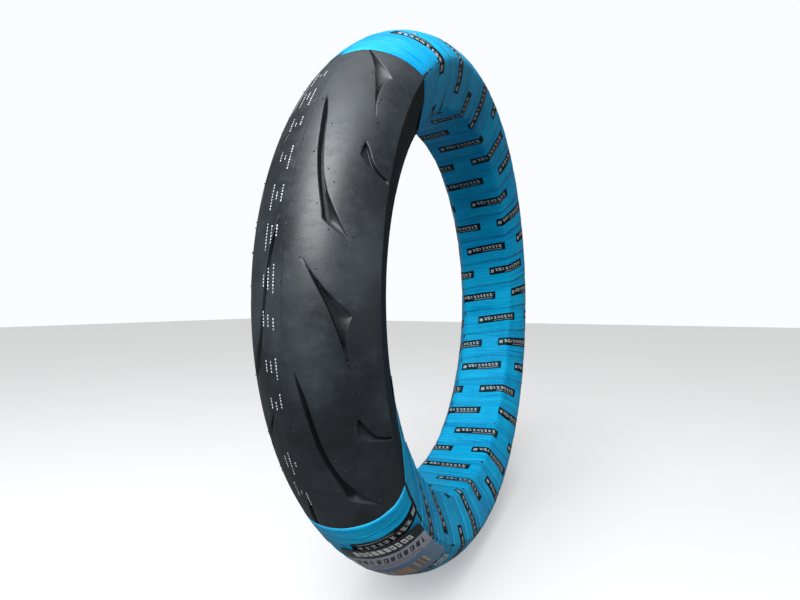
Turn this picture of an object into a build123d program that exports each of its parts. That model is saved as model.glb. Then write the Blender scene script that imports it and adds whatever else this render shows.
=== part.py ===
"""A 110/70-17 motorcycle tyre, three quarters of it wrapped in packing film.

Millimetres. The origin is the wheel's centre, the axle is the Y axis and +Z is up. Each rubber, cord
and wire piece is a ring, drawn as a section and revolved about the axle. In a section, x runs along
the axle and y is the distance from it. Angles round the wheel are in degrees, from +X towards +Z.
"""

import os
from math import acos, asin, atan2, cos, degrees, hypot, radians, sin, sqrt

from build123d import *

# Size of the tyre
section_width = 110.0
aspect_ratio = 0.70
rim_diameter = 431.8
shoulder_drop = 34.6  # how far the tread's edge lies below the crown

# Gauges of the layers, from the outside in
cap_gauge = 6.8
base_gauge = 1.2
breaker_gauge = 0.8
ply_gauge = 0.9
liner_gauge = 1.0
sidewall_gauge = 5.2  # from the outer ply to the outside, at the bend

# How far the edges of the layers under the tread stop short of its own, along the axle
base_margin = 8.0
outer_breaker_margin = 18.0
inner_breaker_margin = 14.0

# Shape of the sidewall and the bead
bend_radius = 14.0  # the cavity's bend between crown and sidewall
sidewall_lean = 138.0  # the way the lower sidewall's ply faces, from straight out
bead_spread = 76.0  # over the beads' outer faces, with the tyre off its rim
heel_radius = 3.0
rim_strip_gauge = 0.9
rim_strip_height = 14.0  # above the bead's base
turn_up_closing = 20.0  # angle between the plies and their turned up edges
inner_turn_up = 17.0  # lengths of those edges
outer_turn_up = 14.0
filler_height = 12.0
chafer_rise = 8.0

# Bead bundle
wire_diameter = 0.95
wire_pitch = 1.15
wires_across = 4
bundle_cover = 0.3

# Tread pattern
pitch_count = 9
sickle_depth = 4.6
swallow_depth = 5.2
hook_depth = 4.0
pattern_start = 149.0

# Packing film and labels
film_gauge = 0.5
film_start = 139.0  # the wrap runs down from here, over the far side and under the tyre
film_sweep = 284.5
tail_sweep = 20.0  # how much further the film reaches across the beads
label_gauge = 0.3
label_start = 240.0
label_sweep = 18.0
label_inner = -5.0  # distances from the crown, along the surface
label_outer = 66.0
sticker_start = 244.6
sticker_sweep = 3.2
sticker_inner = 46.0
sticker_outer = 60.0

# What follows from the sizes
bore_radius = rim_diameter / 2
tyre_radius = bore_radius + section_width * aspect_ratio
half_width = section_width / 2
crown_radius = (half_width**2 + shoulder_drop**2) / (2 * shoulder_drop)
tread_angle = degrees(2 * atan2(shoulder_drop, half_width))
pitch_angle = 360 / pitch_count

cap_floor = crown_radius - cap_gauge
base_floor = cap_floor - base_gauge
breaker_joint = base_floor - breaker_gauge
breaker_floor = breaker_joint - breaker_gauge
ply_middle = liner_gauge + ply_gauge
ply_end = ply_middle + ply_gauge
cavity_radius = breaker_floor - ply_end

bundle_width = (wires_across - 1) * wire_pitch + wire_diameter + 2 * bundle_cover
core_reach = bundle_width / sqrt(2) + 0.1
bead_reach = core_reach + ply_end  # from the bundle's centre to the cavity and to the chafer's outside


def along(angle: float, reach: float, centre: tuple = (0.0, 0.0)) -> tuple:
    """The section point at a distance from a centre, at an angle from straight out."""
    return (centre[0] + reach * sin(radians(angle)), centre[1] + reach * cos(radians(angle)))


def depth(point: tuple, centre: tuple, angle: float) -> float:
    """How far a section point lies from a centre, measured at an angle from straight out."""
    across = (point[0] - centre[0]) * sin(radians(angle))
    return across + (point[1] - centre[1]) * cos(radians(angle))


def facing(start: tuple, end: tuple, reach: float, side: int) -> float:
    """The way a line through start faces when it passes the point end at a distance, on one side."""
    dx, dy = end[0] - start[0], end[1] - start[1]
    return degrees(atan2(dx, dy)) % 360 + side * degrees(acos(reach / hypot(dx, dy)))


# The carcass follows the crown, bends, runs straight down to the bead and turns up round its bundle.
# Every layer is an offset of that line, so that all arcs keep these centres.
crown_hub = (0.0, tyre_radius - crown_radius)
heel_reach = bead_reach + rim_strip_gauge
bead_hub = (bead_spread / 2 - heel_reach, bore_radius + heel_reach)
turn_up_facing = sidewall_lean - turn_up_closing
run_depth = depth(bead_hub, crown_hub, sidewall_lean) - bead_reach - bend_radius
bend_start = sidewall_lean - degrees(acos(run_depth / (cavity_radius - bend_radius)))
bend_hub = along(bend_start, cavity_radius - bend_radius, crown_hub)

# The outside runs straight from the tread's edge, bends, and runs straight down to the bead's heel.
tread_edge = along(tread_angle, crown_radius, crown_hub)
wall_radius = bend_radius + ply_end + sidewall_gauge
wall_start = facing(bend_hub, tread_edge, wall_radius, 1)
wall_end = facing(bend_hub, bead_hub, wall_radius - heel_reach, -1)
foot_angle = (wall_end - 90) / 2
wall_foot = along(90 + foot_angle, heel_reach / cos(radians(foot_angle)), bead_hub)
heel_hub = (bead_spread / 2 - heel_radius, bore_radius + heel_radius)
toe = (bead_hub[0] - bead_reach, bore_radius)

# Film that is stretched over the section is straight from the bend to the heel and across the beads.
wrap_facing = facing(bend_hub, heel_hub, wall_radius - heel_radius, -1)


def section_plane(angle: float) -> Plane:
    """The half plane through the axle at an angle round the wheel."""
    normal = (sin(radians(angle)), 0, -cos(radians(angle)))
    return Plane(origin=(0, 0, 0), x_dir=(0, 1, 0), z_dir=normal)


def arc(centre: tuple, reach: float, start: float, end: float) -> Edge:
    """Draws an arc of a section from one angle to another."""
    middle = along((start + end) / 2, reach, centre)
    return ThreePointArc(along(start, reach, centre), middle, along(end, reach, centre))


def carcass_line(offset: float, turn_up: float) -> list:
    """Draws one face of a carcass layer, from the crown to the end of its turned up edge."""
    reach = bead_reach - offset
    bend = bend_radius + offset
    foot = along(sidewall_lean, -reach, bead_hub)
    edges = [
        arc(crown_hub, cavity_radius + offset, 0, bend_start),
        arc(bend_hub, bend, bend_start, sidewall_lean),
        Line(along(sidewall_lean, bend, bend_hub), foot),
    ]
    if turn_up:
        edges.append(arc(bead_hub, reach, sidewall_lean + 180, turn_up_facing))
        edges.append(turned_up_line(reach, turn_up))
    return edges


def turned_up_line(reach: float, length: float) -> Edge:
    """Draws the straight of a turned up edge, at a distance from the bundle's centre."""
    foot = along(turn_up_facing, reach, bead_hub)
    return Line(foot, along(turn_up_facing - 90, length, foot))


def carcass_layer(inner: float, outer: float, turn_up: float) -> Sketch:
    """The section of a layer that runs from bead to bead."""
    with BuildSketch() as layer:
        with BuildLine():
            inside = carcass_line(inner, turn_up)
            outside = carcass_line(outer, turn_up)
            Line(inside[-1] @ 1, outside[-1] @ 1)
            mirror(about=Plane.YZ)
        make_face()
    return layer.sketch


def crown_strip(floor: float, top: float, start: float, end: float) -> Sketch:
    """The section of a strip whose faces are concentric with the crown, between two angles."""
    with BuildSketch() as strip:
        with BuildLine():
            upper = arc(crown_hub, top, start, end)
            lower = arc(crown_hub, floor, start, end)
            Line(upper @ 0, lower @ 0)
            Line(upper @ 1, lower @ 1)
        make_face()
    return strip.sketch


def tread_strip(floor: float, top: float, margin: float) -> Sketch:
    """The section of a strip under the tread, whose edges stop short of the tread's by a margin."""
    edge = degrees(asin((half_width - margin) / top))
    return crown_strip(floor, top, -edge, edge)


def whole_section() -> Sketch:
    """The section of the bare tyre, between its outside and its cavity."""
    with BuildSketch() as whole:
        with BuildLine():
            arc(crown_hub, crown_radius, 0, tread_angle)
            Line(tread_edge, along(wall_start, wall_radius, bend_hub))
            arc(bend_hub, wall_radius, wall_start, wall_end)
            Line(along(wall_end, wall_radius, bend_hub), wall_foot)
            Line(wall_foot, (bead_spread / 2, heel_hub[1]))
            arc(heel_hub, heel_radius, 90, 180)
            Line((heel_hub[0], bore_radius), toe)
            Line(toe, (toe[0], bead_hub[1]))
            arc(bead_hub, bead_reach, 270, sidewall_lean + 180)
            carcass_line(0, 0)
            mirror(about=Plane.YZ)
        make_face()
    return whole.sketch


def wrapped_section(cover: float) -> Sketch:
    """The area inside film that is stretched round the section, grown by a cover."""
    wall = wall_radius + cover
    with BuildSketch() as wrapped:
        with BuildLine():
            arc(crown_hub, crown_radius + cover, 0, tread_angle)
            if cover:
                arc(tread_edge, cover, tread_angle, wall_start)
            edge = along(wall_start, cover, tread_edge)
            Line(edge, along(wall_start, wall, bend_hub))
            arc(bend_hub, wall, wall_start, wrap_facing)
            heel = along(wrap_facing, heel_radius + cover, heel_hub)
            Line(along(wrap_facing, wall, bend_hub), heel)
            arc(heel_hub, heel_radius + cover, wrap_facing, 180)
            Line((heel_hub[0], bore_radius - cover), (0, bore_radius - cover))
            mirror(about=Plane.YZ)
        make_face()
    return wrapped.sketch


def wheel_point(turn: float, across: float, lift: float = 0.0) -> Vector:
    """A point of the tread: degrees round the wheel, and the share of the way from crown to edge."""
    out = along(across * tread_angle, crown_radius + lift, crown_hub)
    return Vector(out[1] * cos(radians(turn)), out[0], out[1] * sin(radians(turn)))


def tread_plane(turn: float, across: float) -> Plane:
    """The plane that touches the tread at a point, with x running round the wheel."""
    origin = wheel_point(turn, across)
    ahead = (-sin(radians(turn)), 0, cos(radians(turn)))
    return Plane(origin=origin, x_dir=ahead, z_dir=wheel_point(turn, across, 1.0) - origin)


def groove_cut(middle: tuple, gauge: float, *sides: tuple) -> Part:
    """The rubber that a groove takes out, drawn from its sides as curves through places.

    It is cut square to the tread at its middle, down to a floor that follows the crown. A place is
    the degrees from the start of a pitch and the share of the way to the tread's edge.
    """
    plane = tread_plane(*middle)
    with BuildPart() as cut:
        with BuildSketch(plane):
            with BuildLine():
                for side in sides:
                    flat = [plane.to_local_coords(wheel_point(*place)) for place in side]
                    Spline([(point.X, point.Y) for point in flat])
            make_face()
        extrude(amount=3 * cap_gauge, both=True)
        with BuildSketch(Plane.YZ):
            add(crown_strip(crown_radius - gauge, crown_radius + cap_gauge, -90, 90))
        revolve(axis=Axis.Y, mode=Mode.INTERSECT)
    return cut.part


def label_section(inner: float, outer: float) -> Sketch:
    """The section of a paper label on the film, between two distances from the crown on the -Y side."""
    floor = crown_radius + film_gauge
    ends = (-degrees(outer / crown_radius), -degrees(inner / crown_radius))
    return crown_strip(floor, floor + label_gauge, *ends)


os.makedirs("parts", exist_ok=True)

# Sections of the layers
liner_section = carcass_layer(0, liner_gauge, 0)
inner_ply_section = carcass_layer(liner_gauge, ply_middle, inner_turn_up)
outer_ply_section = carcass_layer(ply_middle, ply_end, outer_turn_up)
inner_breaker_section = tread_strip(breaker_floor, breaker_joint, inner_breaker_margin)
outer_breaker_section = tread_strip(breaker_joint, base_floor, outer_breaker_margin)
base_section = tread_strip(base_floor, cap_floor, base_margin)
cap_section = tread_strip(cap_floor, crown_radius, 0)

with BuildSketch() as chafer_section:
    with BuildLine():
        outer_turn = arc(bead_hub, bead_reach, sidewall_lean + 180, turn_up_facing)
        inner_turn = arc(bead_hub, bead_reach - liner_gauge, sidewall_lean + 180, turn_up_facing)
        outer_rise = turned_up_line(bead_reach, chafer_rise)
        inner_rise = turned_up_line(bead_reach - liner_gauge, chafer_rise)
        Line(outer_turn @ 0, inner_turn @ 0)
        Line(outer_rise @ 1, inner_rise @ 1)
    make_face()

# The filler fills the wedge between the plies and their turned up edges, round the bundle.
run_foot = along(sidewall_lean, -core_reach, bead_hub)
with BuildSketch() as bead_filler_section:
    with BuildLine():
        arc(bead_hub, core_reach, sidewall_lean + 180, turn_up_facing)
        outer_side = turned_up_line(core_reach, filler_height)
        run_side = Line(run_foot, along(sidewall_lean - 90, filler_height, run_foot))
        Line(outer_side @ 1, run_side @ 1)
    make_face()
    with Locations(bead_hub):
        Rectangle(bundle_width, bundle_width, mode=Mode.SUBTRACT)

with BuildSketch() as bundle_section:
    with Locations(bead_hub):
        Rectangle(bundle_width, bundle_width)

# The outer rubber of the side is what the other layers leave of the whole section.
with BuildSketch() as side_section:
    add(whole_section())
    with Locations((-tyre_radius / 2, tyre_radius / 2)):
        Rectangle(tyre_radius, 2 * tyre_radius, mode=Mode.SUBTRACT)
    for taken in (
        liner_section,
        inner_ply_section,
        outer_ply_section,
        inner_breaker_section,
        outer_breaker_section,
        base_section,
        cap_section,
        chafer_section.sketch,
        bead_filler_section.sketch,
        bundle_section.sketch,
    ):
        add(taken, mode=Mode.SUBTRACT)

rim_strip_top = bore_radius + rim_strip_height
with BuildSketch() as sidewall_section:
    add(side_section.sketch)
    with Locations((tyre_radius / 2, rim_strip_top / 2)):
        Rectangle(tyre_radius, rim_strip_top, mode=Mode.SUBTRACT)

with BuildSketch() as rim_strip_section:
    add(side_section.sketch)
    add(sidewall_section.sketch, mode=Mode.SUBTRACT)

with BuildSketch() as bead_wires_section:
    with Locations(bead_hub):
        with GridLocations(wire_pitch, wire_pitch, wires_across, wires_across):
            Circle(wire_diameter / 2)

with BuildSketch() as bead_insulation_section:
    add(bundle_section.sketch)
    add(bead_wires_section.sketch, mode=Mode.SUBTRACT)

# Each side of the tread has three grooves in a pitch. The long sickle runs from near the crown to half
# way down the shoulder.
sickle_start = (-0.1, 0.088)
sickle_corner = (20.6, 0.377)
sickle_tip = (23.8, 0.664)
sickle_inner = (sickle_start, (4.0, 0.133), (9.0, 0.19), (14.0, 0.258), sickle_corner)
sickle_end = (sickle_corner, (21.5, 0.453), (22.4, 0.555), sickle_tip)
sickle_outer = (sickle_tip, (22.0, 0.593), (19.0, 0.47), (15.0, 0.336), (9.0, 0.248), (3.0, 0.168))

# The swallow starts where the sickle ends, and its slender tail points on round the shoulder.
swallow_start = (25.9, 0.212)
swallow_corner = (33.4, 0.693)
swallow_tip = (43.0, 0.69)
swallow_inner = (swallow_start, (29.0, 0.343), (33.0, 0.504), (37.0, 0.578), swallow_tip)
swallow_tail = (swallow_tip, (40.0, 0.648), (36.0, 0.624), swallow_corner)
swallow_outer = (swallow_corner, (32.0, 0.599), (30.0, 0.453), (28.0, 0.329), swallow_start)

# The hook runs down to the tread's edge, which stays whole.
hook_tip = (7.9, 0.664)
hook_corner = (10.4, 0.642)
hook_foot = (12.6, 0.96)
hook_heel = (13.2, 0.96)
hook_left = (hook_foot, (12.1, 0.88), (11.0, 0.788), (9.4, 0.727), hook_tip)
hook_right = (hook_corner, (11.5, 0.723), (12.5, 0.85), hook_heel)

sickle_cut = groove_cut(
    (11.5, 0.36), sickle_depth, sickle_inner, sickle_end, (*sickle_outer, sickle_start)
)
swallow_cut = groove_cut((33.0, 0.5), swallow_depth, swallow_inner, swallow_tail, swallow_outer)
hook_cut = groove_cut(
    (11.0, 0.8), hook_depth, hook_left, (hook_tip, hook_corner), hook_right, (hook_heel, hook_foot)
)

# Each side has the same grooves, and the +Y side's lie half a pitch on from the -Y side's.
grooves = []
for pitch in range(pitch_count):
    turn = -pattern_start - pitch * pitch_angle
    for cut in (sickle_cut, swallow_cut, hook_cut):
        grooves.append(mirror(cut, about=Plane.XZ).rotate(Axis.Y, turn))
        grooves.append(cut.rotate(Axis.Y, turn - pitch_angle / 2))

with BuildPart() as tread_cap:
    with BuildSketch(Plane.YZ):
        add(cap_section)
    revolve(axis=Axis.Y)
    add(grooves, mode=Mode.SUBTRACT)
tread_cap.part.label = "tread_cap"
export_step(tread_cap.part, "parts/tread_cap.step")

# The layers under the tread, and those that run from bead to bead
with BuildPart() as tread_base:
    with BuildSketch(Plane.YZ):
        add(base_section)
    revolve(axis=Axis.Y)
tread_base.part.label = "tread_base"
export_step(tread_base.part, "parts/tread_base.step")

with BuildPart() as breaker_ply_outer:
    with BuildSketch(Plane.YZ):
        add(outer_breaker_section)
    revolve(axis=Axis.Y)
breaker_ply_outer.part.label = "breaker_ply_outer"
export_step(breaker_ply_outer.part, "parts/breaker_ply_outer.step")

with BuildPart() as breaker_ply_inner:
    with BuildSketch(Plane.YZ):
        add(inner_breaker_section)
    revolve(axis=Axis.Y)
breaker_ply_inner.part.label = "breaker_ply_inner"
export_step(breaker_ply_inner.part, "parts/breaker_ply_inner.step")

with BuildPart() as carcass_ply_outer:
    with BuildSketch(Plane.YZ):
        add(outer_ply_section)
    revolve(axis=Axis.Y)
carcass_ply_outer.part.label = "carcass_ply_outer"
export_step(carcass_ply_outer.part, "parts/carcass_ply_outer.step")

with BuildPart() as carcass_ply_inner:
    with BuildSketch(Plane.YZ):
        add(inner_ply_section)
    revolve(axis=Axis.Y)
carcass_ply_inner.part.label = "carcass_ply_inner"
export_step(carcass_ply_inner.part, "parts/carcass_ply_inner.step")

with BuildPart() as inner_liner:
    with BuildSketch(Plane.YZ):
        add(liner_section)
    revolve(axis=Axis.Y)
inner_liner.part.label = "inner_liner"
export_step(inner_liner.part, "parts/inner_liner.step")

# The pieces of the two sides. The right side's are drawn on the left side's plane turned about +Z.
right_plane = Plane(origin=(0, 0, 0), x_dir=(0, -1, 0), z_dir=(-1, 0, 0))
for side, side_plane in (("left", Plane.YZ), ("right", right_plane)):
    with BuildPart() as sidewall:
        with BuildSketch(side_plane):
            add(sidewall_section.sketch)
        revolve(axis=Axis.Y)
    sidewall.part.label = f"sidewall_{side}"
    export_step(sidewall.part, f"parts/sidewall_{side}.step")

    with BuildPart() as rim_strip:
        with BuildSketch(side_plane):
            add(rim_strip_section.sketch)
        revolve(axis=Axis.Y)
    rim_strip.part.label = f"rim_strip_{side}"
    export_step(rim_strip.part, f"parts/rim_strip_{side}.step")

    with BuildPart() as chafer:
        with BuildSketch(side_plane):
            add(chafer_section.sketch)
        revolve(axis=Axis.Y)
    chafer.part.label = f"chafer_{side}"
    export_step(chafer.part, f"parts/chafer_{side}.step")

    with BuildPart() as bead_filler:
        with BuildSketch(side_plane):
            add(bead_filler_section.sketch)
        revolve(axis=Axis.Y)
    bead_filler.part.label = f"bead_filler_{side}"
    export_step(bead_filler.part, f"parts/bead_filler_{side}.step")

    with BuildPart() as bead_insulation:
        with BuildSketch(side_plane):
            add(bead_insulation_section.sketch)
        revolve(axis=Axis.Y)
    bead_insulation.part.label = f"bead_insulation_{side}"
    export_step(bead_insulation.part, f"parts/bead_insulation_{side}.step")

    with BuildPart() as bead_wires:
        with BuildSketch(side_plane):
            add(bead_wires_section.sketch)
        revolve(axis=Axis.Y)
    bead_wires.part.label = f"bead_wires_{side}"
    export_step(bead_wires.part, f"parts/bead_wires_{side}.step")

# Packing film leaves the near side of the tread bare, and its tail reaches further across the beads.
with BuildPart() as wrap_film:
    with BuildSketch(section_plane(film_start)):
        add(wrapped_section(film_gauge))
        add(wrapped_section(0), mode=Mode.SUBTRACT)
    revolve(axis=Axis.Y, revolution_arc=film_sweep)
    with BuildSketch(section_plane(film_start)):
        with Locations((0, bore_radius - film_gauge / 2)):
            Rectangle(2 * heel_hub[0], film_gauge)
    revolve(axis=Axis.Y, revolution_arc=film_sweep + tail_sweep)
wrap_film.part.label = "wrap_film"
export_step(wrap_film.part, "parts/wrap_film.step")

# Paper labels on the film, under the tyre
with BuildPart() as size_label:
    with BuildSketch(section_plane(label_start)):
        add(label_section(label_inner, label_outer))
    revolve(axis=Axis.Y, revolution_arc=label_sweep)
size_label.part.label = "size_label"
export_step(size_label.part, "parts/size_label.step")

with BuildPart() as barcode_sticker:
    with BuildSketch(section_plane(sticker_start)):
        add(label_section(sticker_inner, sticker_outer))
    revolve(axis=Axis.Y, revolution_arc=sticker_sweep)
barcode_sticker.part.label = "barcode_sticker"
export_step(barcode_sticker.part, "parts/barcode_sticker.step")
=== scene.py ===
"""Looks of a 110/70-17 motorcycle tyre in its shipping wrap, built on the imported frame.

Lengths are in metres. The axle is the Y axis and +Z is up. A place on the tyre is given by its
turn, the degrees round the wheel from +X towards +Z, and by its place along the section.
"""

from __future__ import annotations

import logging
import math
import random
from collections.abc import Sequence
from dataclasses import dataclass
from enum import Enum

import bmesh
import bpy
import numpy as np
from mathutils import Matrix, Vector
from mathutils.geometry import delaunay_2d_cdt

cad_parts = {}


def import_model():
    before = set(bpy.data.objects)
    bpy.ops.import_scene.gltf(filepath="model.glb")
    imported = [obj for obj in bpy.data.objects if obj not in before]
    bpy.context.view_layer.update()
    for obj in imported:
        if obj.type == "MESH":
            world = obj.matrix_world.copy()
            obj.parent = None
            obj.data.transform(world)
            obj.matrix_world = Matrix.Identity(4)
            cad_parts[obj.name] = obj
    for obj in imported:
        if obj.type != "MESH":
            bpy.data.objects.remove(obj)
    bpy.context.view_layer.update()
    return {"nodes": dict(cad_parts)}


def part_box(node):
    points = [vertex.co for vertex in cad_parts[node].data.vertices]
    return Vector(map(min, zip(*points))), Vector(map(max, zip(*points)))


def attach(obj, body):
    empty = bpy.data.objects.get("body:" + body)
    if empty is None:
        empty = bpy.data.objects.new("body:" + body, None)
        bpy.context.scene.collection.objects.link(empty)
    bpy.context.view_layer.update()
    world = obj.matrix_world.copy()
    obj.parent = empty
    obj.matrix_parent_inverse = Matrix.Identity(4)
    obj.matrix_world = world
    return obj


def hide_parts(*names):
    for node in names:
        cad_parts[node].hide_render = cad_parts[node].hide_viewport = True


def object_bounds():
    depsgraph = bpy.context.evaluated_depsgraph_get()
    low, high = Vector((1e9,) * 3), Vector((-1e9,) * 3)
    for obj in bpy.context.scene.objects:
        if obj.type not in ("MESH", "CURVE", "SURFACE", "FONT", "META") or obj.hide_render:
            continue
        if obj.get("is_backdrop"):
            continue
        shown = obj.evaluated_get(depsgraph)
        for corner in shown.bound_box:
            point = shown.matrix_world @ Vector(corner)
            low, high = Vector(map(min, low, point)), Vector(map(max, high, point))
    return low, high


log = logging.getLogger("tyre")

Place = tuple[float, float]
Colour = tuple[float, float, float]
Spot = tuple[float, float, float]
Array = np.ndarray
Material = bpy.types.Material
Object = bpy.types.Object
Socket = bpy.types.NodeSocket

MM = 0.001
SECTION_RADIUS = 0.25  # from the axle to the middle of the section
TINY = 1e-9  # keeps a divisor off zero


class Side(Enum):
    """The two sides of the tyre, with the sign of Y."""

    LEFT = 1
    RIGHT = -1


# Small tools for meshes


def add_object(name: str, data: bpy.types.ID) -> Object:
    """Links a new object with a mesh, light or camera to the scene."""
    added = bpy.data.objects.new(name, data)
    bpy.context.scene.collection.objects.link(added)
    return added


def make_object(name: str, points: Sequence, faces: Sequence) -> Object:
    """Makes a smooth mesh object at the origin.

    Args:
        name: Name of the object and its mesh.
        points: Vertices in metres.
        faces: Vertex numbers of each face.

    Returns:
        The new object, linked to the scene.
    """
    mesh = bpy.data.meshes.new(name)
    mesh.from_pydata([tuple(p) for p in points], [], [tuple(f) for f in faces])
    mesh.update()
    piece = add_object(name, mesh)
    smooth(piece, 180.0)
    return piece


def select_only(piece: Object) -> None:
    """Makes one object the only selected and active one."""
    bpy.ops.object.select_all(action="DESELECT")
    piece.select_set(True)
    bpy.context.view_layer.objects.active = piece


def smooth(piece: Object, angle: float) -> None:
    """Shades a piece smooth, except over edges sharper than an angle in degrees."""
    select_only(piece)
    bpy.ops.object.shade_smooth_by_angle(angle=math.radians(angle))


def add_uv(piece: Object, coordinates: Array) -> None:
    """Gives a piece a UV map from one pair of numbers for each vertex."""
    layer = piece.data.uv_layers.new(name="surface")
    corners = np.empty(len(piece.data.loops), dtype=np.int32)
    piece.data.loops.foreach_get("vertex_index", corners)
    layer.uv.foreach_set("vector", coordinates[corners].astype(np.float32).ravel())


def face_outwards(piece: Object) -> None:
    """Turns a sheet's faces away from the middle of the tyre's section."""
    face = piece.data.polygons[len(piece.data.polygons) // 2]
    ring = Vector((face.center.x, 0.0, face.center.z)).normalized() * SECTION_RADIUS
    if face.normal.dot(face.center - ring) < 0:
        piece.data.flip_normals()


def thicken(piece: Object, gauge: float) -> None:
    """Gives a sheet a closed wall of a gauge, on its inner side."""
    select_only(piece)
    wall = piece.modifiers.new("wall", "SOLIDIFY")
    wall.thickness = gauge
    wall.offset = -1.0
    wall.use_even_offset = False
    bpy.ops.object.modifier_apply(modifier=wall.name)


def grid_faces(rows: int, columns: int, closed: bool = False) -> list[tuple[int, int, int, int]]:
    """Numbers the quads of a grid of vertices that is stored row by row.

    Args:
        rows: Number of rows of vertices.
        columns: Number of vertices in a row.
        closed: Whether each row is a ring.

    Returns:
        Four vertex numbers for each quad.
    """
    span = columns if closed else columns - 1
    faces = []
    for row in range(rows - 1):
        for column in range(span):
            after = (column + 1) % columns
            low, high = row * columns, (row + 1) * columns
            faces.append((low + column, low + after, high + after, high + column))
    return faces


def smooth_step(values: Array) -> Array:
    """Eases values from 0 to 1."""
    eased = np.clip(values, 0.0, 1.0)
    return eased * eased * (3.0 - 2.0 * eased)


def wavy(values: Array, seed: int, octaves: int = 4) -> Array:
    """Smooth noise of one number, from -1 to 1, as a sum of sines of seeded phases and lengths."""
    draw = random.Random(seed)
    total = np.zeros_like(values, dtype=float)
    for octave in range(octaves):
        rate = (1.0 + draw.random()) * 1.9**octave
        total += np.sin(values * rate + draw.random() * math.tau) / 1.6**octave
    return total / 2.0


def curve_through(points: Sequence[Place], step: float) -> Array:
    """Samples a smooth curve through flat points at an even step."""
    knots = [Vector(p) for p in points]
    knots = [2 * knots[0] - knots[1], *knots, 2 * knots[-1] - knots[-2]]
    line = []
    for a, b, c, d in zip(knots, knots[1:], knots[2:], knots[3:]):
        for k in range(16):
            t = k / 16
            spot = 2 * b + (c - a) * t + (2 * a - 5 * b + 4 * c - d) * t * t
            line.append((spot + (3 * b - a - 3 * c + d) * t**3) * 0.5)
    line.append(knots[-2])
    track = np.array([tuple(p) for p in line])
    run = np.concatenate([[0.0], np.cumsum(np.linalg.norm(np.diff(track, axis=0), axis=1))])
    count = max(2, int(round(run[-1] / step)) + 1)
    stops = np.linspace(0.0, run[-1], count)
    return np.stack([np.interp(stops, run, track[:, axis]) for axis in (0, 1)], axis=1)


def distance_to(points: Array, line: Array) -> Array:
    """Shortest distance from each flat point to a line of straight runs."""
    best = np.full(len(points), np.inf)
    for start, end in zip(line[:-1], line[1:]):
        run = end - start
        share = np.clip(((points - start) @ run) / max(run @ run, 1e-12), 0.0, 1.0)
        best = np.minimum(best, np.linalg.norm(points - start - share[:, None] * run, axis=1))
    return best


def inside(points: Array, outline: Array) -> Array:
    """Tells which flat points lie inside a closed outline."""
    hit = np.zeros(len(points), dtype=bool)
    x, y = points[:, 0], points[:, 1]
    for start, end in zip(outline, np.roll(outline, -1, axis=0)):
        crosses = (start[1] > y) != (end[1] > y)
        rise = end[1] - start[1]
        reach = start[0] + (y - start[1]) * (end[0] - start[0]) / (rise if rise else 1e-12)
        hit ^= crosses & (x < reach)
    return hit


# Small tools for materials


class Signal:
    """A number in a material. Python's operators on it add Math nodes."""

    def __init__(self, graph: Graph, socket: Socket) -> None:
        """Wraps an output socket."""
        self.graph = graph
        self.socket = socket

    def math(self, operation: str, *others: Signal | float) -> Signal:
        """Adds one Math node whose first value is this signal."""
        return self.graph.math(operation, self, *others)

    def __add__(self, other: Signal | float) -> Signal:
        """Adds."""
        return self.math("ADD", other)

    def __sub__(self, other: Signal | float) -> Signal:
        """Subtracts."""
        return self.math("SUBTRACT", other)

    def __rsub__(self, other: float) -> Signal:
        """Subtracts this from a number."""
        return self.graph.math("SUBTRACT", other, self)

    def __mul__(self, other: Signal | float) -> Signal:
        """Multiplies."""
        return self.math("MULTIPLY", other)

    def __truediv__(self, other: Signal | float) -> Signal:
        """Divides."""
        return self.math("DIVIDE", other)

    def __gt__(self, other: Signal | float) -> Signal:
        """One where this is greater, else zero."""
        return self.math("GREATER_THAN", other)

    def __lt__(self, other: Signal | float) -> Signal:
        """One where this is less, else zero."""
        return self.math("LESS_THAN", other)

    def fraction(self) -> Signal:
        """The part after the decimal point, never negative."""
        return self.math("WRAP", 1.0, 0.0)

    def floor(self) -> Signal:
        """The whole number at or below the value."""
        return self.math("FLOOR")

    def or_more(self, other: Signal | float) -> Signal:
        """The greater of two values."""
        return self.math("MAXIMUM", other)

    def size(self) -> Signal:
        """The value without its sign."""
        return self.math("ABSOLUTE")

    def sine(self) -> Signal:
        """The sine."""
        return self.math("SINE")

    def power(self, exponent: float) -> Signal:
        """The value to a power."""
        return self.math("POWER", exponent)

    def step(self, low: float, high: float) -> Signal:
        """Eases from 0 at low to 1 at high."""
        values = {0: self, 1: low, 2: high}
        node = self.graph.node("ShaderNodeMapRange", {"interpolation_type": "SMOOTHSTEP"}, values)
        return Signal(self.graph, node.outputs[0])

    def within(self, low: float, high: float) -> Signal:
        """One where the value lies between two limits."""
        return (self > low) * (self < high)

    def colours(self, *stops: tuple[float, Colour]) -> Socket:
        """Turns the value into a colour by a ramp of stops."""
        node = self.graph.node("ShaderNodeValToRGB", {}, {0: self})
        ramp = node.color_ramp.elements
        while len(ramp) < len(stops):
            ramp.new(0.5)
        for element, (place, colour) in zip(ramp, stops):
            element.position = place
            element.color = (*colour, 1.0)
        return node.outputs[0]


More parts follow.
